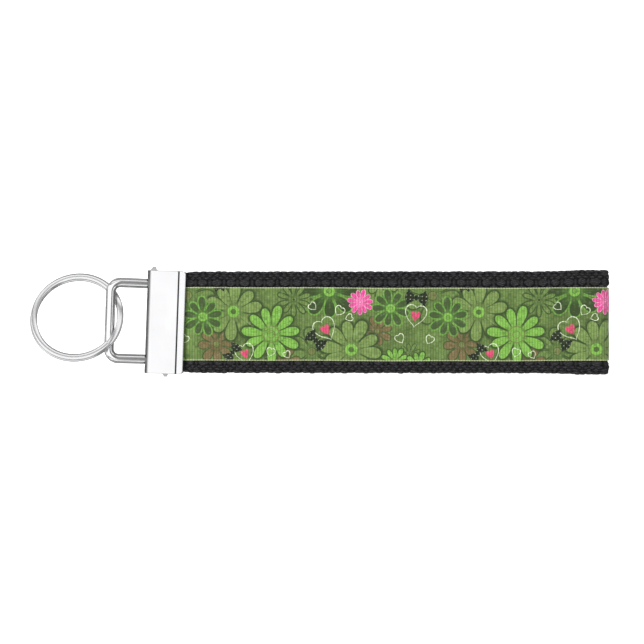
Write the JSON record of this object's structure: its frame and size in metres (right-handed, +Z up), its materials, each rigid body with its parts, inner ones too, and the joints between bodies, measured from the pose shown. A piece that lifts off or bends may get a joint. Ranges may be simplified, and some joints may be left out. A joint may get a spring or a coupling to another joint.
{
  "type": "wristlet keychain",
  "caption": "Wrist strap keychain: printed ribbon on a folded webbing loop, held in a metal crimp clamp with a wire bail and a split ring.",
  "frame": {"origin": "under the middle of the object's outline, on the surface that it lies on", "axes": "+X from the split ring to the strap's fold, +Y across the strap, +Z up through its thickness"},
  "size_m": [0.1798, 0.0343, 0.0138],
  "materials": {
    "clamp_nickel": "polished nickel plate",
    "bail_nickel": "polished nickel plate",
    "ring_steel": "bright nickel-plated spring steel",
    "webbing": "matte black woven webbing",
    "ribbon": "printed ribbed ribbon"
  },
  "bodies": {
    "root": {"clamp": "clamp_nickel", "webbing_end_front": "webbing", "webbing_end_back": "webbing", "ribbon_end_front": "ribbon", "ribbon_end_back": "ribbon"},
    "bail": {"bail": "bail_nickel"},
    "split_ring": {"split_ring": "ring_steel"},
    "front_1": {"webbing_front_1": "webbing", "ribbon_front_1": "ribbon"},
    "front_2": {"webbing_front_2": "webbing", "ribbon_front_2": "ribbon"},
    "front_3": {"webbing_front_3": "webbing", "ribbon_front_3": "ribbon"},
    "front_4": {"webbing_front_4": "webbing", "ribbon_front_4": "ribbon"},
    "front_5": {"webbing_front_5": "webbing", "ribbon_front_5": "ribbon"},
    "front_6": {"webbing_front_6": "webbing", "ribbon_front_6": "ribbon"},
    "front_7": {"webbing_front_7": "webbing", "ribbon_front_7": "ribbon"},
    "front_8": {"webbing_front_8": "webbing", "ribbon_front_8": "ribbon"},
    "fold_front": {"webbing_fold_front": "webbing", "ribbon_fold_front": "ribbon"},
    "back_1": {"webbing_back_1": "webbing", "ribbon_back_1": "ribbon"},
    "back_2": {"webbing_back_2": "webbing", "ribbon_back_2": "ribbon"},
    "back_3": {"webbing_back_3": "webbing", "ribbon_back_3": "ribbon"},
    "back_4": {"webbing_back_4": "webbing", "ribbon_back_4": "ribbon"},
    "back_5": {"webbing_back_5": "webbing", "ribbon_back_5": "ribbon"},
    "back_6": {"webbing_back_6": "webbing", "ribbon_back_6": "ribbon"},
    "back_7": {"webbing_back_7": "webbing", "ribbon_back_7": "ribbon"},
    "back_8": {"webbing_back_8": "webbing", "ribbon_back_8": "ribbon"},
    "fold_back": {"webbing_fold_back": "webbing", "ribbon_fold_back": "ribbon"}
  },
  "joints": [
    {"name": "bail_swing", "type": "hinge", "parent": "root", "child": "bail", "pos_m": [-0.05175, 0.00018, 0.0032], "axis": [0.0349, 0.9994, 0], "range_deg": [-33, 4]},
    {"name": "ring_swing", "type": "hinge", "parent": "bail", "child": "split_ring", "pos_m": [-0.06514, 0.00065, 0.00714], "axis": [0.0349, 0.9994, 0], "range_deg": [-62, 115]},
    {"name": "loop_open", "type": "hinge", "parent": "root", "child": "front_1", "pos_m": [-0.037, 0, 0.0051], "axis": [0, -1, 0], "range_deg": [0, 25]},
    {"name": "front_bend_1", "type": "hinge", "parent": "front_1", "child": "front_2", "pos_m": [-0.022, 0, 0.0051], "axis": [0, -1, 0], "range_deg": [-1, 26]},
    {"name": "front_bend_2", "type": "hinge", "parent": "front_2", "child": "front_3", "pos_m": [-0.007, 0, 0.0051], "axis": [0, -1, 0], "range_deg": [-21, 1]},
    {"name": "front_bend_3", "type": "hinge", "parent": "front_3", "child": "front_4", "pos_m": [0.008, 0, 0.0051], "axis": [0, -1, 0], "range_deg": [-21, 1]},
    {"name": "front_bend_4", "type": "hinge", "parent": "front_4", "child": "front_5", "pos_m": [0.023, 0, 0.0051], "axis": [0, -1, 0], "range_deg": [-21, 1]},
    {"name": "front_bend_5", "type": "hinge", "parent": "front_5", "child": "front_6", "pos_m": [0.038, 0, 0.0051], "axis": [0, -1, 0], "range_deg": [-21, 1]},
    {"name": "front_bend_6", "type": "hinge", "parent": "front_6", "child": "front_7", "pos_m": [0.053, 0, 0.0051], "axis": [0, -1, 0], "range_deg": [-21, 1]},
    {"name": "front_bend_7", "type": "hinge", "parent": "front_7", "child": "front_8", "pos_m": [0.068, 0, 0.0051], "axis": [0, -1, 0], "range_deg": [-1, 26]},
    {"name": "front_bend_8", "type": "hinge", "parent": "front_8", "child": "fold_front", "pos_m": [0.083, 0, 0.0051], "axis": [0, -1, 0], "range_deg": [-1, 26]},
    {"name": "back_bend_0", "type": "hinge", "parent": "root", "child": "back_1", "pos_m": [-0.037, 0, 0.0013], "axis": [0, 1, 0], "range_deg": [-1, 26]},
    {"name": "back_bend_1", "type": "hinge", "parent": "back_1", "child": "back_2", "pos_m": [-0.022, 0, 0.0013], "axis": [0, 1, 0], "range_deg": [-1, 26]},
    {"name": "back_bend_2", "type": "hinge", "parent": "back_2", "child": "back_3", "pos_m": [-0.007, 0, 0.0013], "axis": [0, 1, 0], "range_deg": [-21, 1]},
    {"name": "back_bend_3", "type": "hinge", "parent": "back_3", "child": "back_4", "pos_m": [0.008, 0, 0.0013], "axis": [0, 1, 0], "range_deg": [-21, 1]},
    {"name": "back_bend_4", "type": "hinge", "parent": "back_4", "child": "back_5", "pos_m": [0.023, 0, 0.0013], "axis": [0, 1, 0], "range_deg": [-21, 1]},
    {"name": "back_bend_5", "type": "hinge", "parent": "back_5", "child": "back_6", "pos_m": [0.038, 0, 0.0013], "axis": [0, 1, 0], "range_deg": [-21, 1]},
    {"name": "back_bend_6", "type": "hinge", "parent": "back_6", "child": "back_7", "pos_m": [0.053, 0, 0.0013], "axis": [0, 1, 0], "range_deg": [-21, 1]},
    {"name": "back_bend_7", "type": "hinge", "parent": "back_7", "child": "back_8", "pos_m": [0.068, 0, 0.0013], "axis": [0, 1, 0], "range_deg": [-1, 26]},
    {"name": "back_bend_8", "type": "hinge", "parent": "back_8", "child": "fold_back", "pos_m": [0.083, 0, 0.0013], "axis": [0, 1, 0], "range_deg": [-1, 26]}
  ],
  "couplings": [
    {"joint": "front_bend_1", "follows": "loop_open", "ratio": 1},
    {"joint": "front_bend_2", "follows": "loop_open", "ratio": -0.8},
    {"joint": "front_bend_3", "follows": "loop_open", "ratio": -0.8},
    {"joint": "front_bend_4", "follows": "loop_open", "ratio": -0.8},
    {"joint": "front_bend_5", "follows": "loop_open", "ratio": -0.8},
    {"joint": "front_bend_6", "follows": "loop_open", "ratio": -0.8},
    {"joint": "front_bend_7", "follows": "loop_open", "ratio": 1},
    {"joint": "front_bend_8", "follows": "loop_open", "ratio": 1},
    {"joint": "back_bend_0", "follows": "loop_open", "ratio": 1},
    {"joint": "back_bend_1", "follows": "loop_open", "ratio": 1},
    {"joint": "back_bend_2", "follows": "loop_open", "ratio": -0.8},
    {"joint": "back_bend_3", "follows": "loop_open", "ratio": -0.8},
    {"joint": "back_bend_4", "follows": "loop_open", "ratio": -0.8},
    {"joint": "back_bend_5", "follows": "loop_open", "ratio": -0.8},
    {"joint": "back_bend_6", "follows": "loop_open", "ratio": -0.8},
    {"joint": "back_bend_7", "follows": "loop_open", "ratio": 1},
    {"joint": "back_bend_8", "follows": "loop_open", "ratio": 1}
  ]
}
